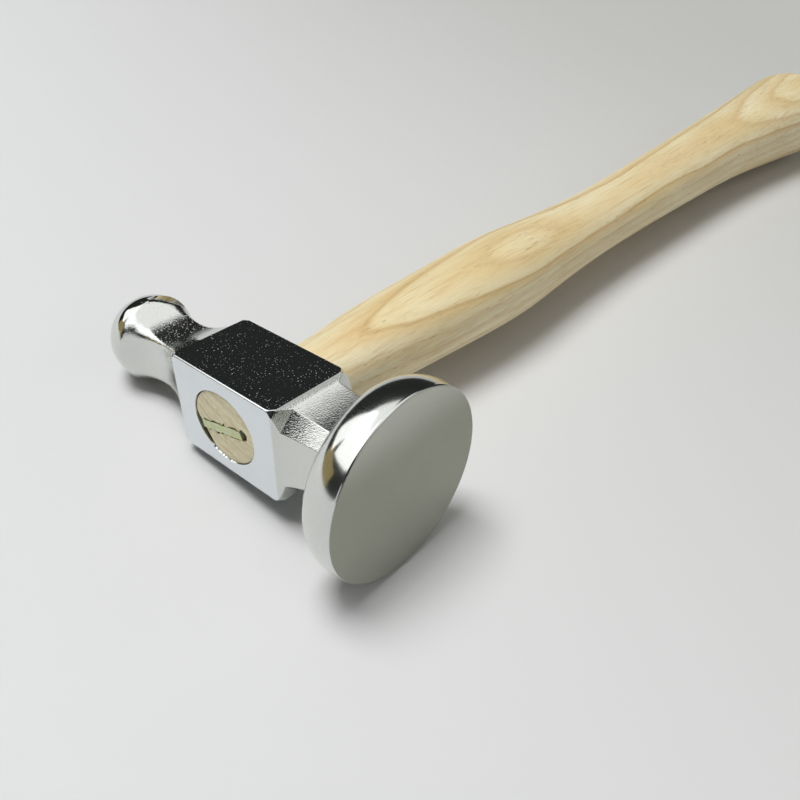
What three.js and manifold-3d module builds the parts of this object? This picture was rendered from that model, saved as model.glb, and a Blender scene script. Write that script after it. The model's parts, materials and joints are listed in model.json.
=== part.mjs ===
// A jeweller's chasing hammer, the small ball peen hammer of metalwork, in millimetres.
// One forged head, one ash handle through its eye, and one steel wedge that spreads the
// handle's end. It lies on its side, as it is put down on a bench: the disc's rim, the ball
// and the grip touch the bench, which is the plane z = 0, and +Z is up.
//
// Every piece is drawn in the head's own frame and turned into that resting pose at the end.
// In the head's frame the origin is the middle of the eye, x runs along the head towards the
// striking face, y runs along the handle towards the grip, and z runs through the cheeks.
import * as THREE from "three";
import { mergeVertices } from "three/addons/utils/BufferGeometryUtils.js";
import Module from "manifold-3d";

// ---- driving dimensions -------------------------------------------------------------------
const FACE_X = 26.4; // the striking face, from the middle of the eye
const RIM_R = 14; // widest radius of the disc
const FACE_EDGE = 0.5; // radius of the rounding between the face and the rim
const FACE_EDGE_R = RIM_R - 0.8; // from the axis to that rounding's centre
const RIM_X = FACE_X - 1.9; // where the rim is widest
const DISC_BACK_X = FACE_X - 6.6;
const DISC_BACK_R = 11.2; // where its flat back turns into the barrelled rim

const BALL_X = -27.1;
const BALL_R = 7.1;

const BLOCK_END = 10.3; // half the length of the eye block
const BLOCK_REACH = 7.75; // from the head's axis to each cheek and to the block's top
const BLOCK_BACK = 5.8; // from the head's axis to the side where the handle leaves
const BLOCK_EASE = 0.5; // chamfer on the block's long edges
const NECK_REACH = 5.7; // the eight-sided neck where it meets the disc
const NECK_CHAMFER = 0.33; // its corner flats, as a share of its reach

const EYE_X = 6.25; // half the eye's length and half its height at its mouths
const EYE_Z = 5.58;
const EYE_SHIFT = -0.12; // the eye is a little nearer the ball
const EYE_WAIST = 0.94; // the eye narrows by this much in its middle
const FIT_GAP = 0.3; // between the eye, the tenon and the wedge

const TENON_END = -(BLOCK_REACH - 0.15); // the handle's end, just under the block's top
const TENON_FLAT = 4.95; // a flat is rasped off one corner of the tenon, this far from its middle
const TENON_FLAT_ANGLE = THREE.MathUtils.degToRad(143);

const WEDGE_FROM = -5.4; // the two ends of its width, from the middle of the eye
const WEDGE_TO = 3.6;
const WEDGE_DEPTH = 11;
const WEDGE_THICK = 1.5; // at the struck end
const WEDGE_TIP = 0.5;
const WEDGE_ANGLE = THREE.MathUtils.degToRad(13.6);
const WEDGE_SHIFT = -0.39; // it passes this far under the middle of the eye
const KERF_FROM = -7; // the saw cut for it is open on one side of the tenon
const KERF_TO = 4.6; // and stops short of the other side

const HANDLE_END = 240;
const GRIP_END_LENGTH = 20; // the rounded end of the grip

const AROUND = 5; // points along each of the eight sides of a head section
const HANDLE_AROUND = 36;

// ---- lofting ------------------------------------------------------------------------------
// Closed skin over rings of points. Every ring has the same number of points, and the two
// poles close the ends.
function loft(rings, startPole, endPole) {
  const count = rings[0].length;
  const points = [startPole, ...rings.flat(), endPole];
  const last = points.length - 1;
  const index = [];
  for (let k = 0; k < count; k++) {
    const next = (k + 1) % count;
    index.push(0, 1 + next, 1 + k);
    index.push(last, last - count + k, last - count + next);
    for (let ring = 0; ring < rings.length - 1; ring++) {
      const a = 1 + ring * count;
      const b = a + count;
      index.push(a + k, a + next, b + next, a + k, b + next, b + k);
    }
  }
  return new THREE.BufferGeometry().setFromPoints(points).setIndex(index);
}

// ---- joining and cutting ------------------------------------------------------------------
const wasm = await Module();
wasm.setup();

function solid(geometry) {
  const bare = geometry.clone();
  bare.deleteAttribute("normal");
  bare.deleteAttribute("uv");
  const merged = mergeVertices(bare, 1e-4);
  return new wasm.Manifold(
    new wasm.Mesh({
      numProp: 3,
      vertProperties: merged.attributes.position.array,
      triVerts: new Uint32Array(merged.index.array),
    }),
  );
}

function geometryOf(manifold) {
  const mesh = manifold.getMesh();
  const geometry = new THREE.BufferGeometry();
  geometry.setAttribute("position", new THREE.BufferAttribute(mesh.vertProperties, 3));
  geometry.setIndex(new THREE.BufferAttribute(mesh.triVerts, 1));
  geometry.computeVertexNormals();
  return geometry;
}

// ---- the head -----------------------------------------------------------------------------
// One section of the head at x, as a ring in y and z. Its flats lie at `reach` on three sides
// and at `back` on the handle's side, its corners are cut by `chamfer`, and `round` takes it
// from that eight-sided outline (0) to a circle of radius `reach` (1).
function headRing({ x, reach, back = reach, chamfer = NECK_CHAMFER * reach, round = 0 }) {
  const corners = [
    [back, chamfer - reach],
    [back, reach - chamfer],
    [back - chamfer, reach],
    [chamfer - reach, reach],
    [-reach, reach - chamfer],
    [-reach, chamfer - reach],
    [chamfer - reach, -reach],
    [back - chamfer, -reach],
  ];
  const ring = [];
  corners.forEach(([y, z], side) => {
    const [nextY, nextZ] = corners[(side + 1) % corners.length];
    for (let step = 0; step < AROUND; step++) {
      const share = step / AROUND;
      const angle = ((side + share - 0.5) * Math.PI) / 4;
      const flatY = THREE.MathUtils.lerp(y, nextY, share);
      const flatZ = THREE.MathUtils.lerp(z, nextZ, share);
      ring.push(
        new THREE.Vector3(
          x,
          THREE.MathUtils.lerp(flatY, reach * Math.cos(angle), round),
          THREE.MathUtils.lerp(flatZ, reach * Math.sin(angle), round),
        ),
      );
    }
  });
  return ring;
}

function circleRings(points) {
  return points.map(({ x, y }) => headRing({ x, reach: y, round: 1 }));
}

// Points of an ellipse's arc in x and radius, from one angle to another, in degrees.
function arc(x, radius, halfLength, halfRadius, from, to, steps) {
  return Array.from({ length: steps + 1 }, (_, i) => {
    const angle = THREE.MathUtils.degToRad(THREE.MathUtils.lerp(from, to, i / steps));
    const along = halfLength * Math.cos(angle);
    const out = halfRadius * Math.sin(angle);
    return new THREE.Vector2(x + along, radius + out);
  });
}

// The peen's neck, from the ball to the block: four hollow flats cut into the ball's round
// stock, whose corners stay round near the ball.
const PEEN_NECK = [
  { x: -27.2, reach: 7.02, chamfer: 0.9, round: 0.97 },
  { x: -26.6, reach: 6.72, chamfer: 0.9, round: 0.83 },
  { x: -26, reach: 6.26, chamfer: 0.9, round: 0.67 },
  { x: -25.3, reach: 5.73, chamfer: 0.9, round: 0.51 },
  { x: -24.6, reach: 5.27, chamfer: 0.9, round: 0.35 },
  { x: -23.8, reach: 4.86, chamfer: 0.85, round: 0.18 },
  { x: -22.8, reach: 4.5, chamfer: 0.8 },
  { x: -21.4, reach: 4.21, chamfer: 0.65 },
  { x: -19.5, reach: 4.09, chamfer: 0.5 },
  { x: -17.8, reach: 4.22, chamfer: 0.48 },
  { x: -16.4, reach: 4.52, chamfer: 0.5 },
  { x: -15, reach: 4.97, chamfer: 0.52 },
  { x: -13.6, reach: 5.5, chamfer: 0.52 },
  { x: -12.5, reach: 5.99, chamfer: 0.5 },
  { x: -11.6, reach: 6.52, chamfer: 0.5 },
  { x: -10.9, reach: 7.07, chamfer: 0.5 },
  { x: -10.5, reach: 7.48, chamfer: 0.5 },
];

function peenRings() {
  const ball = arc(BALL_X, 0, BALL_R, BALL_R, 170, 95, 11);
  const neck = PEEN_NECK.map((at) => headRing({ ...at, back: Math.min(at.reach, BLOCK_BACK) }));
  return [...circleRings(ball), ...neck];
}

function blockRings() {
  const outline = { reach: BLOCK_REACH, back: BLOCK_BACK, chamfer: BLOCK_EASE };
  return [-BLOCK_END, BLOCK_END].map((x) => headRing({ x, ...outline }));
}

function faceNeckRings() {
  // The block's corners are cut back at once; the flats sweep down in a hollow curve.
  const flats = new THREE.SplineCurve([
    new THREE.Vector2(BLOCK_END + 0.4, 7.4),
    new THREE.Vector2(BLOCK_END + 0.9, 7.05),
    new THREE.Vector2(12.8, 6.5),
    new THREE.Vector2(15.5, 5.95),
    new THREE.Vector2(18.4, NECK_REACH),
  ]).getPoints(9);
  const shoulder = { x: DISC_BACK_X, reach: NECK_REACH + 0.7, back: NECK_REACH + 0.5, round: 0.5 };
  const rings = flats.map(({ x, y }) => headRing({ x, reach: y, back: Math.min(y, BLOCK_BACK) }));
  return [...rings, headRing(shoulder)];
}

function discRings() {
  const backX = DISC_BACK_X + 0.15;
  const back = [new THREE.Vector2(DISC_BACK_X, 8), new THREE.Vector2(backX, DISC_BACK_R)];
  const rearRim = arc(RIM_X, DISC_BACK_R, RIM_X - backX, RIM_R - DISC_BACK_R, 172, 90, 7);
  const faceEdge = arc(FACE_X - FACE_EDGE, FACE_EDGE_R, FACE_EDGE, FACE_EDGE, 80, 0, 3);
  return circleRings([...back, ...rearRim, ...faceEdge]);
}

// The eye narrows to its waist from both mouths. `gap` takes that much off it all round.
function eyeRings(from, to, gap, steps = 8) {
  return Array.from({ length: steps + 1 }, (_, i) => {
    const y = THREE.MathUtils.lerp(from, to, i / steps);
    const middle = (BLOCK_BACK - BLOCK_REACH) / 2;
    const mouth = Math.min(1, Math.abs(y - middle) / (BLOCK_BACK - middle));
    const narrow = THREE.MathUtils.lerp(EYE_WAIST, 1, mouth);
    return ovalRing(y, EYE_X * narrow - gap, EYE_Z * narrow - gap, EYE_SHIFT);
  });
}

// An oval ring in x and z at y; `power` 2 is an ellipse, and more is squarer.
function ovalRing(y, halfX, halfZ, shiftX = 0, power = 2) {
  return Array.from({ length: HANDLE_AROUND }, (_, k) => {
    const angle = (-2 * Math.PI * k) / HANDLE_AROUND;
    const [c, s] = [Math.cos(angle), Math.sin(angle)];
    return new THREE.Vector3(
      shiftX + halfX * Math.sign(c) * Math.abs(c) ** (2 / power),
      y,
      halfZ * Math.sign(s) * Math.abs(s) ** (2 / power),
    );
  });
}

function headGeometry() {
  const skin = loft(
    [...peenRings(), ...blockRings(), ...faceNeckRings(), ...discRings()],
    new THREE.Vector3(BALL_X - BALL_R, 0, 0),
    new THREE.Vector3(FACE_X, 0, 0),
  );
  const past = 1; // the cutter runs this far out of both mouths
  const [from, to] = [-BLOCK_REACH - past, BLOCK_BACK + past];
  const eye = loft(eyeRings(from, to, 0), new THREE.Vector3(0, from, 0), new THREE.Vector3(0, to, 0));
  return geometryOf(solid(skin).subtract(solid(eye)));
}

// ---- the wedge ----------------------------------------------------------------------------
// A tapered plate, thick at the struck end, whose width runs between two places along the
// head. The saw cut that holds it is the same plate grown by `spare`.
function wedgeGeometry(from = WEDGE_FROM, to = WEDGE_TO, spare = 0) {
  const thick = WEDGE_THICK / 2 + spare;
  const tip = WEDGE_TIP / 2 + spare;
  const taper = new THREE.Shape([
    new THREE.Vector2(-thick, TENON_END - 3 * spare),
    new THREE.Vector2(thick, TENON_END - 3 * spare),
    new THREE.Vector2(tip, TENON_END + WEDGE_DEPTH + spare),
    new THREE.Vector2(-tip, TENON_END + WEDGE_DEPTH + spare),
  ]);
  const plate = new THREE.ExtrudeGeometry(taper, { depth: to - from, bevelEnabled: false });
  plate.translate(0, 0, from);
  plate.rotateY(Math.PI / 2); // its width now runs along x, and its thickness along z
  plate.translate(0, 0, WEDGE_SHIFT);
  plate.rotateY(-WEDGE_ANGLE);
  return plate;
}

// ---- the handle ---------------------------------------------------------------------------
// Half width along the head, half height through the cheeks and sideways shift at places
// along the handle: a swell, a springy waist, and a grip that fills the palm.
const HANDLE_SHAPE = [
  { y: 9.5, halfX: 6.05, halfZ: 5.45, shift: 0.3 },
  { y: 20, halfX: 7.0, halfZ: 6.2, shift: 0.5 },
  { y: 38, halfX: 8.1, halfZ: 7.1, shift: 0.9 },
  { y: 56, halfX: 8.75, halfZ: 7.65, shift: 1.15 },
  { y: 72, halfX: 8.0, halfZ: 7.0, shift: 1.25 },
  { y: 89, halfX: 7.45, halfZ: 6.5, shift: 1.35 },
  { y: 115, halfX: 7.85, halfZ: 6.85, shift: 1.2 },
  { y: 140, halfX: 8.7, halfZ: 7.6, shift: 1.0 },
  { y: 165, halfX: 9.7, halfZ: 8.6, shift: 1.05 },
  { y: 192, halfX: 11.6, halfZ: 10.35, shift: 1.7 },
  { y: HANDLE_END - GRIP_END_LENGTH, halfX: 13.9, halfZ: 12.3, shift: 2.9 },
];

function handleRings() {
  const column = (key) => new THREE.SplineCurve(HANDLE_SHAPE.map((at) => new THREE.Vector2(at.y, at[key])));
  const [halfX, halfZ, shift] = ["halfX", "halfZ", "shift"].map((key) => column(key).getPoints(28));
  const shaft = halfX.map(({ x: y, y: half }, i) => ovalRing(y, half, halfZ[i].y, shift[i].y, 2.2));
  const widest = HANDLE_SHAPE.at(-1);
  const end = [15, 30, 45, 58, 70, 80].map((degrees) => {
    const angle = THREE.MathUtils.degToRad(degrees);
    const shrink = Math.cos(angle) ** 0.9;
    const y = widest.y + GRIP_END_LENGTH * Math.sin(angle);
    return ovalRing(y, widest.halfX * shrink, widest.halfZ * shrink, widest.shift, 2.2);
  });
  return [...shaft, ...end];
}

function handleGeometry() {
  const tenon = eyeRings(TENON_END, BLOCK_BACK + FIT_GAP, FIT_GAP);
  const skin = loft(
    [...tenon, ...handleRings()],
    new THREE.Vector3(0, TENON_END, 0),
    new THREE.Vector3(HANDLE_SHAPE.at(-1).shift, HANDLE_END, 0),
  );
  const rasp = new THREE.BoxGeometry(10, BLOCK_REACH + BLOCK_BACK + 1, 20);
  rasp.translate(TENON_FLAT + 5, (BLOCK_BACK - BLOCK_REACH) / 2 - 1, 0);
  rasp.rotateY(TENON_FLAT_ANGLE);
  const kerf = wedgeGeometry(KERF_FROM, KERF_TO, FIT_GAP);
  return geometryOf(solid(skin).subtract(solid(rasp)).subtract(solid(kerf)));
}

// ---- the assembly -------------------------------------------------------------------------
function piece(name, geometry, color, roughness, metalness) {
  const mesh = new THREE.Mesh(geometry, new THREE.MeshStandardMaterial({ color, roughness, metalness }));
  mesh.name = name;
  return mesh;
}

const hammer = new THREE.Group();
hammer.add(
  piece("head", headGeometry(), 0xc9ccce, 0.15, 1),
  piece("handle", handleGeometry(), 0xe3c78f, 0.5, 0),
  piece("wedge", wedgeGeometry(), 0xc7cf9a, 0.35, 1),
);

// The pose at rest: the head leans until its ball and its rim share one level, and then the
// handle end rises or sinks until the grip meets that level too.
function restOnBench(group) {
  const span = RIM_X - BALL_X;
  group.rotation.y = -(Math.acos(BALL_R / Math.hypot(RIM_R, span)) - Math.atan2(span, RIM_R));
  const [head, handle] = group.children;
  const lowest = (mesh) => new THREE.Box3().setFromObject(mesh, true).min.z;
  for (let turn = 0; turn < 8; turn++) {
    group.updateMatrixWorld(true);
    group.rotation.x += (lowest(head) - lowest(handle)) / HANDLE_SHAPE.at(-1).y;
  }
  group.updateMatrixWorld(true);
  const box = new THREE.Box3().setFromObject(group, true);
  const middle = box.getCenter(new THREE.Vector3());
  group.position.set(-middle.x, -middle.y, -box.min.z);
}
restOnBench(hammer);

export default hammer;
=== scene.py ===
"""A jeweller's chasing hammer, a small ball peen hammer, lying on its side on a pale bench.

Every piece is drawn in millimetres in the head's own frame: x runs along the head towards the
striking face, y along the handle towards the grip, z through the cheeks, and the origin is the
middle of the eye. One matrix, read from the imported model's flat faces, lays it on the bench.
"""
import json
import math

import bpy
import bmesh
import numpy as np
from mathutils import Matrix, Quaternion, Vector


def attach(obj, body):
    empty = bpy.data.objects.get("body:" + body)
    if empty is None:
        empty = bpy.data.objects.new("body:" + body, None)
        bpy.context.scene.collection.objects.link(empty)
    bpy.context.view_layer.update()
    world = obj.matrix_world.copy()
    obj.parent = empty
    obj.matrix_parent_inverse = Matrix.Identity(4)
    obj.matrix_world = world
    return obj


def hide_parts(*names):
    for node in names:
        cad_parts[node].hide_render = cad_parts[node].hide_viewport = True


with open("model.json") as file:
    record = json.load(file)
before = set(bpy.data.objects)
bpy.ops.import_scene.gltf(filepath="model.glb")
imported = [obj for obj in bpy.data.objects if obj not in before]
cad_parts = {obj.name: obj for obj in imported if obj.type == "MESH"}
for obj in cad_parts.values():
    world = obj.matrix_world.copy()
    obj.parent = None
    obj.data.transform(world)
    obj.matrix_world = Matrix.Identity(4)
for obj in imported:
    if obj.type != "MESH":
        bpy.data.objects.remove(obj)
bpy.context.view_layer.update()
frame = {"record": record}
MM = 0.001

# ---- the head's frame ---------------------------------------------------------------------
FACE_X = 26.4  # the striking face, from the middle of the eye
faces = {m["name"]: m for m in frame["record"]["mounts"]}
along_head = Vector(faces["striking_face"]["axis"])
along_handle = -Vector(faces["eye_face"]["axis"])
through_cheeks = along_head.cross(along_handle)
middle = Vector(faces["striking_face"]["pos_m"]) - along_head * FACE_X * MM
TURN = Matrix((along_head, along_handle, through_cheeks)).transposed()
LAY = Matrix.Translation(middle) @ TURN.to_4x4()

# ---- camera -------------------------------------------------------------------------------
CAMERA_AT = (0.06275, -0.16585, 0.08086)
AIM = Vector((0.01342, -0.09513, 0.008))
ROLL = math.radians(9.18)  # the camera is not held level
camera_data = bpy.data.cameras.new("camera")
camera_data.sensor_width = 36
camera_data.lens = 32.66
camera_data.clip_start = 0.005
camera = bpy.data.objects.new("camera", camera_data)
bpy.context.scene.collection.objects.link(camera)
camera.location = CAMERA_AT
look = (AIM - camera.location).to_track_quat("-Z", "Y").to_matrix()
camera.rotation_euler = (look @ Matrix.Rotation(ROLL, 3, "Z")).to_euler()
bpy.context.scene.camera = camera


# ---- shapes -------------------------------------------------------------------------------
def curve(points, at):
    """Natural cubic spline through (position, value) points, read at one position or many."""
    px, py = (np.array(column, float) for column in zip(*points))
    step, rise = np.diff(px), np.diff(py)
    n = len(px)
    system, target = np.eye(n), np.zeros(n)
    for i in range(1, n - 1):
        system[i, i - 1 : i + 2] = step[i - 1], 2 * (step[i - 1] + step[i]), step[i]
        target[i] = 6 * (rise[i] / step[i] - rise[i - 1] / step[i - 1])
    bend = np.linalg.solve(system, target)
    at = np.asarray(at, float)
    i = np.clip(np.searchsorted(px, at) - 1, 0, n - 2)
    h, t = step[i], at - px[i]
    slope = rise[i] / h - h * (2 * bend[i] + bend[i + 1]) / 6
    return py[i] + slope * t + bend[i] / 2 * t**2 + (bend[i + 1] - bend[i]) / (6 * h) * t**3


def smooth(low, high, value):
    """0 up to low, 1 from high on, and a soft rise between them."""
    t = np.clip((np.asarray(value, float) - low) / (high - low), 0, 1)
    return t * t * (3 - 2 * t)


def stations(*spans):
    """Places along an axis, from spans that each give a first place, a last place and a count."""
    return np.concatenate([np.linspace(*span) for span in spans])


def loft(name, rings, start, end):
    """A closed skin over rings of the same number of points, with a pole at each end."""
    rings = np.asarray(rings, float)
    count, around = rings.shape[:2]
    points = np.vstack([[start], rings.reshape(-1, 3), [end]]) * MM
    last = len(points) - 1
    skin = []
    for k in range(around):
        n = (k + 1) % around
        skin.append((0, 1 + n, 1 + k))
        skin.append((last, last - around + k, last - around + n))
        for r in range(count - 1):
            a = 1 + r * around
            skin.append((a + k, a + n, a + around + n, a + around + k))
    mesh = bpy.data.meshes.new(name)
    mesh.from_pydata(points.tolist(), [], skin)
    mesh.validate()
    piece = bpy.data.objects.new(name, mesh)
    bpy.context.scene.collection.objects.link(piece)
    joined = bmesh.new()
    joined.from_mesh(mesh)
    bmesh.ops.remove_doubles(joined, verts=joined.verts, dist=1e-7)
    bmesh.ops.recalc_face_normals(joined, faces=joined.faces)
    joined.to_mesh(mesh)
    joined.free()
    return piece


def cut(piece, *cutters):
    """Takes the cutters out of a piece, and removes them."""
    for cutter in cutters:
        tool = piece.modifiers.new("cut", "BOOLEAN")
        tool.operation = "DIFFERENCE"
        tool.solver = "MANIFOLD"
        tool.object = cutter
        bpy.context.view_layer.update()
        evaluated = piece.evaluated_get(bpy.context.evaluated_depsgraph_get())
        result = bpy.data.meshes.new_from_object(evaluated)
        piece.modifiers.clear()
        piece.data = result
        bpy.data.objects.remove(cutter)


def finish_piece(piece, node, material, sharp):
    """Shades a piece, with creases above so many degrees, lays it on the bench and hides the imported part
    that it replaces.
    """
    piece.data.materials.clear()
    piece.data.materials.append(material)
    piece.data.shade_smooth()
    piece.data.set_sharp_from_angle(angle=math.radians(sharp))
    piece.data.transform(LAY)
    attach(piece, "root")
    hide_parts(node)


# ---- the head's shape ---------------------------------------------------------------------
FLAT_STEPS, CORNER_STEPS = 12, 8
SECTOR_STEPS = FLAT_STEPS + CORNER_STEPS
REACH, BACK = 7.75, 5.8  # from the axis to the cheeks and the eye side, and to the handle side
EDGE = 0.32  # radius of the block's long edges
BLOCK_END = 10.3
NECK_START = 10.42  # both necks leave the block this far from the middle of the eye
SHOULDER_END = 11.05  # where the block's corners have been cut back to the eight-sided neck
SHOULDER_FLAT, SHOULDER_CUT = 7.02, 2.5  # there, the flats' distance and what each corner has lost
NECK_END = 19.72  # where the eight-sided neck meets the disc
DISC_BACK, DISC_WIDEST, DISC_R = 20.0, 24.5, 14.0  # two places along the head, and a radius
DISC_SHOULDER = 11.2  # radius at which the disc's back turns into its rim
RIM_FALL = 0.05  # how much the rim narrows from its widest place towards the face
FACE_EDGE, FACE_FLAT = 0.32, 13.56  # radius of the rounding round the face, and of the face inside it
BALL_X, BALL_R = -27.1, 7.1


def ball_radius(x):
    return math.sqrt(BALL_R**2 - (x - BALL_X) ** 2)


# the peen's neck, place by place: from the axis to its flats, and to its rounded corners
PEEN_NECK_FLATS = [(x, ball_radius(x)) for x in (-28.4, -28.0, -27.6)] + [
    (-27.2, 7.08), (-26.8, 6.98), (-26.4, 6.76), (-26, 6.44), (-25.5, 6.0), (-25, 5.6), (-24.5, 5.26),
    (-24, 4.97), (-23, 4.56), (-22, 4.31), (-21, 4.17), (-20, 4.1), (-19, 4.1), (-18, 4.19), (-17, 4.37),
    (-16, 4.63), (-15, 4.97), (-14, 5.34), (-13, 5.75), (-12, 6.25), (-11.4, 6.65), (-11, 6.98),
    (-10.65, 7.32), (-10.42, 7.57),
]
PEEN_NECK_CORNERS = [(x, ball_radius(x)) for x in (-28.4, -28.0, -27.6, -27.1, -26.6)] + [
    (-26, 6.9), (-25.5, 6.68), (-25, 6.43), (-24, 6.04), (-23, 5.77), (-22, 5.58), (-21, 5.47), (-20, 5.43),
    (-19, 5.46), (-18, 5.6), (-17, 5.84), (-16, 6.2), (-15, 6.65), (-14, 7.17), (-13, 7.78), (-12, 8.5),
    (-11, 9.6), (-10.42, 10.45),
]
# the neck behind the disc: from the axis to its flats
FACE_NECK_FLATS = [
    (10.42, 7.55), (10.6, 7.36), (10.85, 7.14), (11.3, 6.92), (12.0, 6.68), (13.0, 6.4), (14.5, 6.07),
    (16.0, 5.85), (17.4, 5.73), (18.3, 5.72), (18.8, 5.8), (19.2, 6.02), (19.5, 6.38), (19.72, 6.95),
]


def head_ring(x, side, back=None, cut_off=0.0, soft=0.0, round_off=0.0):
    """A section of the head: four flats and four corner flats, blended towards a circle.

    side is the distance from the axis to the flats, and back to the one that faces the handle.
    cut_off is how much each corner loses along its two flats, soft is the radius of every edge,
    and round_off is 1 for a full circle.
    """
    reach = [side if back is None else back, side, side, side]
    heights = []
    for i in range(4):
        lost = max(cut_off, (2 - math.sqrt(2)) * soft)
        heights += [reach[i], (reach[i] + reach[(i + 1) % 4] - lost) / math.sqrt(2)]
    corner, turn = [], math.pi / 4
    for k in range(8):
        a, b = heights[k] - soft, heights[(k + 1) % 8] - soft
        slide = (b - a * math.cos(turn)) / math.sin(turn)
        n, t = k * turn, k * turn + math.pi / 2
        corner.append((a * math.cos(n) + slide * math.cos(t), a * math.sin(n) + slide * math.sin(t)))
    ring = []
    for k in range(8):
        (ay, az), (by, bz) = corner[k - 1], corner[k]
        n = k * turn
        for j in range(SECTOR_STEPS):
            if j <= FLAT_STEPS:
                share = 0.5 - 0.5 * math.cos(math.pi * j / FLAT_STEPS)
                y = ay + (by - ay) * share + soft * math.cos(n)
                z = az + (bz - az) * share + soft * math.sin(n)
            else:
                angle = n + turn * (j - FLAT_STEPS) / CORNER_STEPS
                y, z = by + soft * math.cos(angle), bz + soft * math.sin(angle)
            sweep = n + turn * (j - FLAT_STEPS / 2) / SECTOR_STEPS
            y += (side * math.cos(sweep) - y) * round_off
            z += (side * math.sin(sweep) - z) * round_off
            ring.append((x, y, z))
    return ring


def round_ring(x, radius):
    return head_ring(x, radius, soft=radius * 0.98, round_off=1.0)


def block_cut(x):
    """How far the block's long corners are cut back: more right at its ends."""
    near_end = float(smooth(9.2, BLOCK_END, abs(x)))
    return 0.2 + (0.5 if x < 0 else 0.7) * near_end**2


def ball_rings():
    places = BALL_X + BALL_R * np.cos(np.radians(np.linspace(176, 95, 30)))
    return [head_ring(x, ball_radius(x), soft=ball_radius(x)) for x in places]


def peen_neck_rings():
    """Four hollow flats cut into the ball's round stock, which is left at the corners."""
    rings = []
    for x in stations((-27.6, -16.5, 50), (-16.2, -12.4, 18), (-12.2, -NECK_START, 16)):
        flat = float(curve(PEEN_NECK_FLATS, x))
        corner = float(curve(PEEN_NECK_CORNERS, x))
        soft = min(flat, max(0.5, (math.sqrt(2) * flat - corner) / (math.sqrt(2) - 1)))
        rings.append(head_ring(x, flat, back=min(flat, BACK), soft=soft))
    return rings


def block_rings():
    """The eye block, very slightly rounded into its two ends."""
    end = [(-10.33, 7.69), (-10.28, 7.73), (-10.22, 7.745), (-10.1, REACH)]
    between = [(x, REACH) for x in stations((-9.8, -8.0, 9), (-6.8, 6.8, 7), (8.0, 9.8, 9))]
    places = end + between + [(-x, side) for x, side in reversed(end)]
    return [head_ring(x, side, back=BACK, cut_off=block_cut(x), soft=EDGE) for x, side in places]


def face_neck_rings():
    """The block's corners are cut back steeply, then eight flats run hollow to the disc."""
    rings = []
    steep_cut = [NECK_START - 0.06, SHOULDER_END], [block_cut(BLOCK_END), SHOULDER_CUT]
    for x in stations((NECK_START, SHOULDER_END, 8), (11.2, 18.2, 28), (18.4, NECK_END, 12)):
        side = float(curve(FACE_NECK_FLATS, x))
        cut_off = float(np.interp(x, *steep_cut))
        if x >= SHOULDER_END:
            cut_off = SHOULDER_CUT * side / SHOULDER_FLAT
        back = side + (BACK + 0.35 - side) * (1 - float(smooth(11.5, 16.5, x)))
        soft = 0.3 - 0.12 * float(smooth(10.4, 11.2, x))
        melt = float(smooth(18.4, 19.8, x))
        rings.append(head_ring(x, side, min(back, side), cut_off, soft, melt))
    return rings


def disc_rings():
    """The disc's back, its barrelled rim, the small rounding round the face, and the face."""
    back = (0.16, 7.8), (0.1, 9.0), (0.05, 10.2), (0.01, 10.8)  # it is a very flat cone
    rings = [round_ring(DISC_BACK - proud, radius) for proud, radius in back]
    for angle in np.radians(np.linspace(174, 91, 26)):
        x = DISC_WIDEST + (DISC_WIDEST - DISC_BACK) * math.cos(angle)
        rings.append(round_ring(x, DISC_SHOULDER + (DISC_R - DISC_SHOULDER) * math.sin(angle)))
    for x in np.linspace(DISC_WIDEST + 0.2, FACE_X - FACE_EDGE, 8):
        rings.append(round_ring(x, DISC_R - RIM_FALL * (x - DISC_WIDEST) ** 2))
    for angle in np.radians(np.linspace(80, 0, 8)):
        x = FACE_X - FACE_EDGE + FACE_EDGE * math.cos(angle)
        rings.append(round_ring(x, FACE_FLAT + FACE_EDGE * math.sin(angle)))
    return rings + [round_ring(FACE_X, radius) for radius in (13.4, 13.1, 12.0, 9.0, 5.0, 1.5)]


def head_forging():
    rings = ball_rings() + peen_neck_rings() + block_rings() + face_neck_rings() + disc_rings()
    return loft("head_forging", rings, (BALL_X - BALL_R, 0, 0), (FACE_X, 0, 0))


# ---- the eye ------------------------------------------------------------------------------
EYE_X, EYE_Z = 6.25, 5.58  # its half sizes at both mouths
EYE_WAIST = 0.94  # how narrow it is in its middle
EYE_SHIFT = -0.12  # it is a little nearer the ball
AROUND_EYE, AROUND_HANDLE = 192, 128


def oval(y, half_x, half_z, shift, power=2.0, around=AROUND_HANDLE):
    """A ring across the handle: an ellipse, or a squarer oval with a power above 2."""
    ring = []
    for k in range(around):
        angle = 2 * math.pi * k / around
        c, s = math.cos(angle), math.sin(angle)
        ring.append((
            shift + half_x * math.copysign(abs(c) ** (2 / power), c),
            y,
            half_z * math.copysign(abs(s) ** (2 / power), s),
        ))
    return ring


def eye_oval(y, gap, around):
    """The eye's outline at one depth, smaller by a gap. The eye is narrowest in its middle."""
    centre = (BACK - REACH) / 2
    mouth = min(1.0, abs(y - centre) / (BACK - centre))
    narrow = EYE_WAIST + (1 - EYE_WAIST) * mouth
    return oval(y, EYE_X * narrow - gap, EYE_Z * narrow - gap, EYE_SHIFT, around=around)


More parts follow.
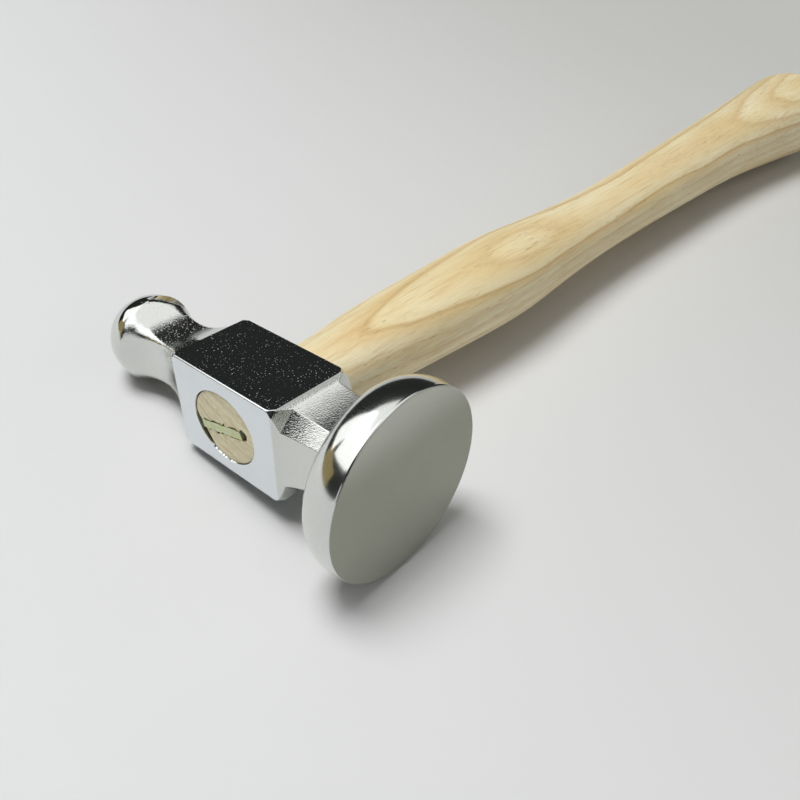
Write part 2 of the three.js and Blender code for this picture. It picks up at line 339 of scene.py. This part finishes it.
def eye_cutter():
    """The eye, with the arris of both mouths broken, unevenly on the seen mouth's lower side."""
    rng = np.random.default_rng(3)
    angle = np.arange(AROUND_EYE) * 2 * math.pi / AROUND_EYE
    c, s = np.cos(angle), np.sin(angle)
    lower_side = smooth(-0.55, -0.8, s) * smooth(-0.62, -0.45, c) * smooth(0.45, 0.25, c)
    broken = 0.04 + lower_side * np.abs(rng.normal(0.06, 0.06, AROUND_EYE))
    outside = -REACH - 1, BACK + 1
    half_eye = 6  # about the eye's half size, to turn a depth in millimetres into a share of it
    rings = []
    for y, share in ((outside[0], 1), (-REACH + 0.01, 1), (-REACH + 0.2, 0)):
        wider = 1 + share * broken / half_eye
        ring = eye_oval(y, 0, AROUND_EYE)
        rings.append([(x * wide, y, z * wide) for (x, y, z), wide in zip(ring, wider)])
    for y in np.linspace(-REACH + 0.5, BACK - 0.14, 12):
        rings.append(eye_oval(y, 0, AROUND_EYE))
    for y in (BACK - 0.02, outside[1]):
        rings.append(oval(y, EYE_X + 0.14, EYE_Z + 0.14, EYE_SHIFT, around=AROUND_EYE))
    return loft("eye_cutter", rings, (0, outside[0], 0), (0, outside[1], 0))


# ---- the handle's shape -------------------------------------------------------------------
# place along the handle, half width along the head, half height, sideways shift
HANDLE = [
    (9.5, 6.05, 5.45, 0.3),
    (20, 7.0, 6.2, 0.5),
    (38, 8.1, 7.1, 0.9),
    (56, 8.75, 7.65, 1.15),
    (72, 8.0, 7.0, 1.25),
    (89, 7.45, 6.5, 1.35),
    (115, 7.85, 6.85, 1.2),
    (140, 8.7, 7.6, 1.0),
    (165, 9.7, 8.6, 1.05),
    (192, 11.6, 10.35, 1.7),
    (220, 13.9, 12.3, 2.9),
]
HANDLE_END = 240
SQUARENESS = 2.2  # the power of the handle's oval
TENON_END = -REACH + 0.12
TENON_GAP = 0.09
RASP, RASP_TURN = 5.2, math.radians(-145)  # one corner of the tenon is rasped flat, this far out
WEDGE_TURN, WEDGE_SHIFT = math.radians(13.6), -0.39  # how the saw cut and the wedge lie in the eye
ABOVE_TENON = -REACH - 0.6  # where the cutters start, clear of the wood


def rasped(ring, reach):
    """Flattens a ring's corner that stands out further than this."""
    c, s = math.cos(RASP_TURN), math.sin(RASP_TURN)
    cut_ring = []
    for x, y, z in ring:
        over = max(0.0, x * c + z * s - reach)
        cut_ring.append((x - over * c, y, z - over * s))
    return cut_ring


def tenon_rings():
    """The tenon's sawn end, then the tenon itself, a small gap inside the eye."""
    rings = []
    for share in (0.25, 0.5, 0.75, 0.9, 0.97):
        half_x, half_z = (EYE_X - TENON_GAP) * share, (EYE_Z - TENON_GAP) * share
        rings.append(rasped(oval(TENON_END, half_x, half_z, EYE_SHIFT), RASP * share))
    for y in np.linspace(TENON_END + 0.08, BACK, 14):
        ring = eye_oval(y, TENON_GAP, AROUND_HANDLE)
        rings.append(rasped(ring, RASP - 0.01 * (y - TENON_END)))
    return rings


def shaft_rings():
    """The swell, the waist and the grip, up to the grip's widest place."""
    places = stations((6.3, 20, 16), (21.5, 219.5, 133))
    table = [(BACK + 0.2, EYE_X - 0.2, EYE_Z - 0.2, 0.05)] + HANDLE
    columns = [curve([(row[0], row[i]) for row in table], places) for i in (1, 2, 3)]
    rings = []
    for y, half_x, half_z, shift in zip(places, *columns):
        power = 2 + (SQUARENESS - 2) * float(smooth(6, 20, y))
        rings.append(oval(y, half_x, half_z, shift, power))
    return rings


def grip_end_rings():
    widest, half_x, half_z, shift = HANDLE[-1]
    rings = []
    for angle in np.radians(np.linspace(2, 88, 30)):
        y = widest + (HANDLE_END - widest) * math.sin(angle)
        shrink = math.cos(angle) ** 0.9
        rings.append(oval(y, half_x * shrink, half_z * shrink, shift, SQUARENESS))
    return rings


def ash_handle():
    rings = tenon_rings() + shaft_rings() + grip_end_rings()
    return loft("ash_handle", rings, (0, TENON_END, 0), (HANDLE[-1][3], HANDLE_END, 0))


def plate(name, across, thick, depths, ragged, seed):
    """A plate across the eye that gets thinner towards its tip.

    across, thick and depths each give a first and a last value. ragged moves the outline's points
    about at the first depth, as sawing or hammering does, and less and less below it.
    """
    rng = np.random.default_rng(seed)
    steps, side_steps = 64, 6
    start, end = across
    c, s = math.cos(WEDGE_TURN), math.sin(WEDGE_TURN)
    rings = []
    for share in np.linspace(0, 1, 10):
        half = (thick[0] + (thick[1] - thick[0]) * share) / 2
        line = [(x, half) for x in np.linspace(start, end, steps)]
        line += [(end, z) for z in np.linspace(half, -half, side_steps)[1:-1]]
        line += [(x, -half) for x in np.linspace(end, start, steps)]
        line += [(start, z) for z in np.linspace(-half, half, side_steps)[1:-1]]
        if not rings:
            wobble = rng.normal(0, ragged, (len(line), 2))
            wobble = (wobble + np.roll(wobble, 1, 0) + np.roll(wobble, -1, 0)) / 3
        ring = []
        for (x, z), (dx, dz) in zip(line, wobble * (1 - share)):
            x, z = x + dx, z + dz + WEDGE_SHIFT
            ring.append((x * c - z * s, depths[0] + (depths[1] - depths[0]) * share, x * s + z * c))
        rings.append(ring)
    return loft(name, rings, np.mean(rings[0], axis=0), np.mean(rings[-1], axis=0))


def split_end():
    """The hole where the saw cut ran out and the wood tore."""
    rng = np.random.default_rng(11)
    around = 20
    torn = rng.normal(0, 0.09, around)
    middle_x, middle_z, half_x, half_z = 3.93, 0.62, 0.72, 0.86
    depths = ((ABOVE_TENON, 1.0), (-7.4, 1.0), (-6.6, 0.85), (-5.8, 0.5))
    rings = []
    for y, size in depths:
        ring = []
        for k in range(around):
            angle = 2 * math.pi * k / around
            x = middle_x + (half_x + torn[k]) * size * math.cos(angle)
            ring.append((x, y, middle_z + (half_z + torn[k - 7]) * size * math.sin(angle)))
        rings.append(ring)
    return loft("split_end", rings, (middle_x, depths[0][0], middle_z), (middle_x, depths[-1][0], middle_z))


# ---- materials ----------------------------------------------------------------------------
MIX_LOW, MIX_HIGH, MIX_RESULT = 6, 7, 2  # the colour sockets of a Mix node


class Shader:
    """A Principled material whose nodes are wired with short calls."""

    def __init__(self, name, **constants):
        self.material = bpy.data.materials.new(name)
        self.material.use_nodes = True
        self.tree = self.material.node_tree
        self.bsdf = self.tree.nodes["Principled BSDF"]
        for socket, value in constants.items():
            self.set(socket.replace("_", " ").title().replace("Ior", "IOR"), value)
        # every pattern is placed in the head's frame, in millimetres
        place = self.tree.nodes.new("ShaderNodeTexCoord").outputs["Object"]
        to_head = self.tree.nodes.new("ShaderNodeMapping")
        to_head.vector_type = "TEXTURE"
        to_head.inputs["Location"].default_value = LAY.to_translation()
        to_head.inputs["Rotation"].default_value = LAY.to_euler()
        to_head.inputs["Scale"].default_value = (MM, MM, MM)
        self.tree.links.new(place, to_head.inputs[0])
        self.mm = to_head.outputs[0]

    def put(self, socket, value):
        if isinstance(value, bpy.types.NodeSocket):
            self.tree.links.new(value, socket)
        else:
            socket.default_value = value

    def set(self, socket, value):
        self.put(self.bsdf.inputs[socket], value)

    def math(self, operation, *values):
        node = self.tree.nodes.new("ShaderNodeMath")
        node.operation = operation
        for socket, value in zip(node.inputs, values):
            self.put(socket, value)
        return node.outputs[0]

    def times(self, first, *others):
        for other in others:
            first = self.math("MULTIPLY", first, other)
        return first

    def plus(self, first, *others):
        for other in others:
            first = self.math("ADD", first, other)
        return first

    def distance(self, a, b):
        """How far a point is from the axis that a and b are measured from."""
        return self.math("SQRT", self.plus(self.times(a, a), self.times(b, b)))

    def split(self, vector):
        node = self.tree.nodes.new("ShaderNodeSeparateXYZ")
        self.put(node.inputs[0], vector)
        return node.outputs

    def join(self, x, y, z):
        node = self.tree.nodes.new("ShaderNodeCombineXYZ")
        for socket, value in zip(node.inputs, (x, y, z)):
            self.put(socket, value)
        return node.outputs[0]

    def step(self, value, low, high, to_low=0.0, to_high=1.0):
        """A soft change from to_low to to_high while the value goes from low to high."""
        node = self.tree.nodes.new("ShaderNodeMapRange")
        node.interpolation_type = "SMOOTHSTEP"
        for socket, given in zip(node.inputs, (value, low, high, to_low, to_high)):
            self.put(socket, given)
        return node.outputs[0]

    def between(self, value, rise, fall):
        """1 from the rise to the fall, each a soft step with two ends, and 0 outside them."""
        return self.times(self.step(value, *rise), self.step(value, *fall, 1.0, 0.0))

    def noise(self, scale, detail=2.0, rough=0.5, stretch=None, vector=None):
        """Noise over the millimetres, or over a vector. stretch multiplies x, y and z first."""
        vector = self.mm if vector is None else vector
        if stretch is not None:
            stretched = self.tree.nodes.new("ShaderNodeVectorMath")
            stretched.operation = "MULTIPLY"
            self.put(stretched.inputs[0], vector)
            stretched.inputs[1].default_value = stretch
            vector = stretched.outputs[0]
        node = self.tree.nodes.new("ShaderNodeTexNoise")
        self.put(node.inputs["Vector"], vector)
        node.inputs["Scale"].default_value = scale
        node.inputs["Detail"].default_value = detail
        node.inputs["Roughness"].default_value = rough
        return node.outputs[0]

    def pits(self, density, size):
        """1 in small spots scattered over x and y, density of them per millimetre, else 0."""
        node = self.tree.nodes.new("ShaderNodeTexVoronoi")
        node.voronoi_dimensions = "2D"
        self.put(node.inputs["Vector"], self.mm)
        node.inputs["Scale"].default_value = density
        red = self.tree.nodes.new("ShaderNodeSeparateColor")
        self.tree.links.new(node.outputs["Color"], red.inputs[0])
        reach = self.step(red.outputs[0], 0.3, 1.0, 0.0, size * density)
        distance = self.math("SUBTRACT", node.outputs["Distance"], reach)
        return self.step(distance, -0.04, 0.0, 1.0, 0.0)

    def blend(self, share, low, high):
        node = self.tree.nodes.new("ShaderNodeMix")
        node.data_type = "RGBA"
        self.put(node.inputs["Factor"], share)
        self.put(node.inputs[MIX_LOW], low)
        self.put(node.inputs[MIX_HIGH], high)
        return node.outputs[MIX_RESULT]

    def paint(self, colour, *coats):
        """Lays coats of (how much, colour) over a colour, one after another."""
        for share, coat in coats:
            colour = self.blend(share, colour, coat)
        return colour

    def bump(self, height, distance):
        node = self.tree.nodes.new("ShaderNodeBump")
        node.inputs["Distance"].default_value = distance * MM
        node.inputs["Strength"].default_value = 1.0
        self.put(node.inputs["Height"], height)
        self.set("Normal", node.outputs[0])


def rgb(*display):
    """A display colour, 0 to 255, as the linear colour that shaders take."""
    levels = [level / 255 for level in display]
    linear = [v / 12.92 if v <= 0.04045 else ((v + 0.055) / 1.055) ** 2.4 for v in levels]
    return (*linear, 1.0)


# where along the head each kind of surface starts and ends, as the two ends of two soft steps
FACE_NECK_SPAN = (NECK_START - 0.06, NECK_START + 0.08), (NECK_END - 0.72, NECK_END + 0.08)
PEEN_NECK_SPAN = (BALL_X - 0.9, BALL_X + 1.6), (-16.8, -13.6)
PEEN_TOP_SPAN = (BALL_X + 2.6, BALL_X + 4.6), (-19.0, -15.5)
BLOCK_SPAN = (-BLOCK_END - 0.1, -BLOCK_END + 0.3), (BLOCK_END - 0.3, BLOCK_END)


def chrome_material():
    s = Shader("chromed_steel", metallic=1.0)
    x, y, z = s.split(s.mm)
    # where: both necks are left rough under the plate, the face is ground, the rest is polished
    neck = s.times(s.between(x, *FACE_NECK_SPAN), 1.1)
    neck = s.math("MAXIMUM", neck, s.between(x, *PEEN_NECK_SPAN))
    inside_rim = s.step(s.distance(y, z), DISC_R - 0.3, DISC_R - 0.2, 1.0, 0.0)
    ground = s.times(s.step(x, FACE_X - 0.2, FACE_X - 0.04), inside_rim)
    disc = s.step(x, DISC_BACK - 0.4, DISC_BACK + 0.4)
    block = s.between(x, *BLOCK_SPAN)
    at_cheek = s.step(s.math("ABSOLUTE", z), REACH - 0.15, REACH - 0.03)
    cheek = s.times(block, at_cheek)
    eye_side = s.times(block, s.math("SUBTRACT", 1.0, at_cheek))
    peen_top = s.times(s.between(x, *PEEN_TOP_SPAN), s.step(z, 3.4, 3.9))
    # texture: cast grain, specks that come in drifts, slow waves in the polish, grinding lines
    grain = s.noise(5.2, 1.0)
    drifts = s.step(s.step(s.noise(0.3), 0.35, 0.6), 0.0, 1.0, 0.4, 1.0)
    pits = s.times(s.math("MAXIMUM", s.pits(1.1, 0.09), s.times(s.pits(2.2, 0.085), 0.75)), drifts)
    flecks = s.step(s.noise(3.4, 1.0), 0.63, 0.7)
    specks = s.math("MAXIMUM", s.times(pits, cheek), s.times(flecks, peen_top))
    waves = s.noise(0.25, 3.0)
    lines = s.noise(2.2, 3.0, 0.6, stretch=(1.0, 0.3, 7.0))
    fine = s.noise(14.0, 2.0, 0.6)
    # colour
    polished = s.blend(waves, rgb(226, 230, 233), rgb(217, 222, 226))
    cast = s.blend(grain, rgb(204, 206, 202), rgb(222, 224, 220))
    plate_colour = s.paint(cast, (block, polished), (specks, rgb(250, 250, 250)))
    # painted sheen and shade: the ground face is painted paler towards its top and darker low down, where
    # it would mirror the disc's shadow on the bench
    ground_face_and_painted_sheen = s.blend(s.step(z, 5.0, 14.0), rgb(166, 167, 155), rgb(206, 207, 198))
    ground_face_and_painted_sheen = s.paint(ground_face_and_painted_sheen, (s.step(fine, 0.35, 0.65, 0.0, 0.12), rgb(140, 140, 130)))
    s.set("Base Color", s.blend(ground, plate_colour, ground_face_and_painted_sheen))
    # roughness
    roughness = s.plus(
        s.step(waves, 0.3, 0.7, 0.045, 0.075),
        s.times(neck, s.step(grain, 0.35, 0.7, 0.06, 0.12)),
        s.times(eye_side, 0.13),
        s.times(disc, 0.08),
        s.times(specks, 0.6),
        s.times(ground, s.step(fine, 0.3, 0.7, 0.34, 0.42)),
    )
    s.set("Roughness", s.math("MINIMUM", roughness, 1.0))
    s.bump(s.plus(s.times(neck, grain, 0.56), s.times(ground, lines, 0.12), s.times(waves, 0.25)), 0.055)
    return s.material


RING_WIDTH = 2.4  # of one year's growth
RING_LEAN = 0.94, 0.33  # how much of z and of x goes across the growth rings
SAWN_END = TENON_END + 0.08


def wood_material():
    s = Shader("ash_wood", ior=1.45)
    x, y, z = s.split(s.mm)
    # growth rings: curved, wavering layers that the shaping of the handle cuts at a slant
    upright, sideways = RING_LEAN
    along_ring = s.math("SUBTRACT", s.times(x, upright), s.times(z, sideways))
    flat_depth = s.plus(s.times(z, upright), s.times(x, sideways))
    arched = s.math("SUBTRACT", flat_depth, s.times(along_ring, along_ring, 0.01))
    drift = s.noise(1.0, stretch=(0.05, 0.012, 0.05))
    waver = s.noise(1.0, 3.0, stretch=(0.3, 0.035, 0.3))
    depth = s.plus(arched, s.times(drift, 5.0), waver)
    years = s.math("DIVIDE", depth, RING_WIDTH)
    ring = s.math("FRACT", years)
    # a number from 0 to 1 for each year, as good as random: some summers were better than others
    vigour = s.math("FRACT", s.times(s.math("SINE", s.times(s.math("FLOOR", years), 12.9)), 43.7))
    late_wood = s.between(ring, (0.1, 0.72), (0.76, 1.0))
    winter_line = s.between(ring, (0.66, 0.78), (0.8, 0.9))
    # fibres, streaks and pores run along the handle
    fibre = s.noise(1.0, 3.0, 0.6, stretch=(4.2, 0.13, 4.2))
    streak = s.noise(1.0, 4.0, 0.7, stretch=(1.5, 0.04, 1.5))
    pores = s.noise(1.0, 1.0, stretch=(4.5, 0.3, 4.5))
    pore = s.times(s.step(pores, 0.62, 0.74), s.step(ring, 0.45, 0.8))
    cloud = s.noise(1.0, stretch=(0.12, 0.03, 0.12))
    colour = s.paint(
        s.blend(s.step(cloud, 0.35, 0.65), rgb(246, 234, 196), rgb(238, 222, 176)),
        # painted shade: the next coat makes the wood greyer towards its lower side, which faces the bench
        (s.step(depth, 3.0, -3.0, 0.0, 0.45), rgb(214, 194, 156)),  # greyer towards the lower side
        (s.times(late_wood, s.step(vigour, 0.0, 1.0, 0.3, 0.7)), rgb(224, 192, 132)),
        (s.step(streak, 0.45, 0.75, 0.0, 0.6), rgb(214, 180, 124)),
        (s.times(winter_line, s.step(vigour, 0.2, 1.0, 0.05, 0.4)), rgb(184, 148, 88)),
        (s.step(fibre, 0.4, 0.75, 0.0, 0.3), rgb(206, 176, 122)),
        (s.times(pore, 0.45), rgb(140, 106, 62)),
    )
    # the sawn and hammered end is greyer than the sanded sides, with fine pale rays, and it is painted
    # paler than end grain is, as painted light, since the lamp only grazes it
    end = s.step(y, SAWN_END + 0.15, SAWN_END)
    rays = s.noise(1.6, 3.0, 0.65, vector=s.join(depth, s.times(along_ring, 0.12), 0.0))
    mottle = s.noise(1.4, 3.0, 0.6)
    end_grain_and_painted_light = s.paint(
        s.blend(s.step(rays, 0.42, 0.62), rgb(254, 246, 206), rgb(240, 225, 186)),
        (s.step(mottle, 0.45, 0.7, 0.0, 0.5), rgb(228, 206, 166)),
        (s.times(winter_line, 0.22), rgb(186, 164, 124)),
    )
    # painted shade: just inside the eye, and in the saw cut, the wood is painted dark, where the head
    # shades it
    in_eye = s.between(y, (TENON_END + 0.03, TENON_END + 0.23), (BACK - 0.6, BACK + 0.1))
    painted_eye_shade = s.times(in_eye, 0.85), rgb(78, 62, 36)
    s.set("Base Color", s.paint(colour, (s.times(end, 0.9), end_grain_and_painted_light), painted_eye_shade))
    s.set("Roughness", s.step(fibre, 0.3, 0.8, 0.36, 0.52))
    s.bump(s.plus(s.times(fibre, 0.5), s.times(pore, -0.6), s.times(end, mottle, 1.5)), 0.05)
    return s.material


def zinc_material():
    s = Shader("zinc_plate", metallic=0.6)
    blotch = s.noise(1.1, 3.0)
    dents = s.noise(2.6, 3.0, 0.6)
    s.set("Base Color", s.blend(s.step(blotch, 0.35, 0.65), rgb(212, 218, 188), rgb(206, 212, 154)))
    s.set("Roughness", s.step(dents, 0.3, 0.7, 0.3, 0.48))
    s.bump(dents, 0.12)
    return s.material


def bench_material():
    s = Shader("pale_bench", specular_ior_level=0.3)
    x, y, _ = s.split(s.mm)
    # painted light: the bench is painted paler towards the front and left and darker towards the back, as a
    # lamp's fall-off would make it, with a slow cloud in it
    cloud = s.noise(0.004)
    across = s.plus(s.times(y, 0.9), s.times(x, 0.45), s.times(cloud, 20.0))
    colour = s.blend(s.step(across, -150.0, 260.0), rgb(229, 230, 231), rgb(208, 208, 205))
    s.set("Base Color", colour)
    # far away, where the lamp doesn't reach, the bench stays as pale as it is near
    s.set("Emission Color", colour)
    s.set("Emission Strength", s.step(s.distance(x, y), 150.0, 1500.0, 0.0, 0.8))
    s.set("Roughness", s.step(s.noise(0.3, 3.0), 0.3, 0.7, 0.5, 0.58))
    return s.material


# ---- the pieces ---------------------------------------------------------------------------
head = head_forging()
cut(head, eye_cutter())
finish_piece(head, "head", chrome_material(), 24)

handle = ash_handle()
kerf = plate("kerf", (-7.5, 3.85), (1.74, 0.7), (ABOVE_TENON, 3.8), ragged=0.24, seed=4)
cut(handle, kerf, split_end())
finish_piece(handle, "handle", wood_material(), 40)

wedge = plate("steel_wedge", (-5.35, 3.5), (1.3, 0.5), (TENON_END - 0.06, 3.4), ragged=0.08, seed=7)
finish_piece(wedge, "wedge", zinc_material(), 40)

# ---- the bench ----------------------------------------------------------------------------
BENCH = 3  # metres from its middle to its edges
bench_mesh = bpy.data.meshes.new("bench")
bench_corners = [(-BENCH, -BENCH, 0), (BENCH, -BENCH, 0), (BENCH, BENCH, 0), (-BENCH, BENCH, 0)]
bench_mesh.from_pydata(bench_corners, [], [(0, 1, 2, 3)])
bench_mesh.materials.append(bench_material())
bench = bpy.data.objects.new("bench", bench_mesh)
bpy.context.scene.collection.objects.link(bench)


# ---- the light ----------------------------------------------------------------------------
def softbox(name, azimuth, elevation, distance, size, radiance, roll=0, tint=(1, 1, 1)):
    """A light panel seen from the head in this direction, in degrees, facing it. Size is in metres."""
    turn, lift = math.radians(azimuth), math.radians(elevation)
    away = Vector((math.cos(turn) * math.cos(lift), math.sin(turn) * math.cos(lift), math.sin(lift)))
    light = bpy.data.lights.new(name, "AREA")
    light.color = tint
    light.shape = "RECTANGLE"
    light.size, light.size_y = size
    light.energy = radiance * size[0] * size[1] * math.pi
    panel = bpy.data.objects.new(name, light)
    panel.location = middle + away * distance
    facing = (-away).to_track_quat("-Z", "Y")
    panel.rotation_euler = (facing @ Quaternion((0, 0, 1), math.radians(roll))).to_euler()
    bpy.context.scene.collection.objects.link(panel)
    return panel


# what the plated steel mirrors: a white ceiling and screens, a greyer wall and a warm card
for mirrored in (
    softbox("ceiling", 145, 86, 1.5, (2.6, 2.1), 1.1),
    softbox("screen", 226, 44, 1.6, (1.15, 1.1), 1.45, roll=18),
    softbox("side_screen", 191, 36, 1.6, (0.66, 1.42), 1.4, roll=6),
    softbox("wall", 279, 10, 1.7, (1.4, 0.62), 0.7),
    softbox("card", 217, 9, 2.0, (1.35, 0.62), 0.3, tint=(1.0, 0.78, 0.34)),
):
    mirrored.visible_diffuse = False
# what lights the wood and the bench, and isn't mirrored
for unseen in (
    softbox("lamp", 206, 73, 1.15, (0.5, 0.5), 14.3),
    softbox("skylight", 0, 90, 1.4, (1.8, 1.8), 0.36),
):
    unseen.visible_glossy = False
# and a weak panel that does both
softbox("fill", 20, 33, 1.6, (2.6, 1.0), 0.6)

# past the bench the camera sees plain grey, while the room that the steel mirrors is dark
world = bpy.data.worlds.new("studio")
bpy.context.scene.world = world
world.use_nodes = True
tree = world.node_tree
seen = tree.nodes.new("ShaderNodeLightPath").outputs["Is Camera Ray"]
room = tree.nodes.new("ShaderNodeMix")
room.data_type = "RGBA"
tree.links.new(seen, room.inputs["Factor"])
room.inputs[MIX_LOW].default_value = (0.022, 0.024, 0.022, 1)
room.inputs[MIX_HIGH].default_value = (0.7, 0.7, 0.7, 1)
tree.links.new(room.outputs[MIX_RESULT], tree.nodes["Background"].inputs["Color"])
bpy.context.scene.view_settings.view_transform = "Standard"
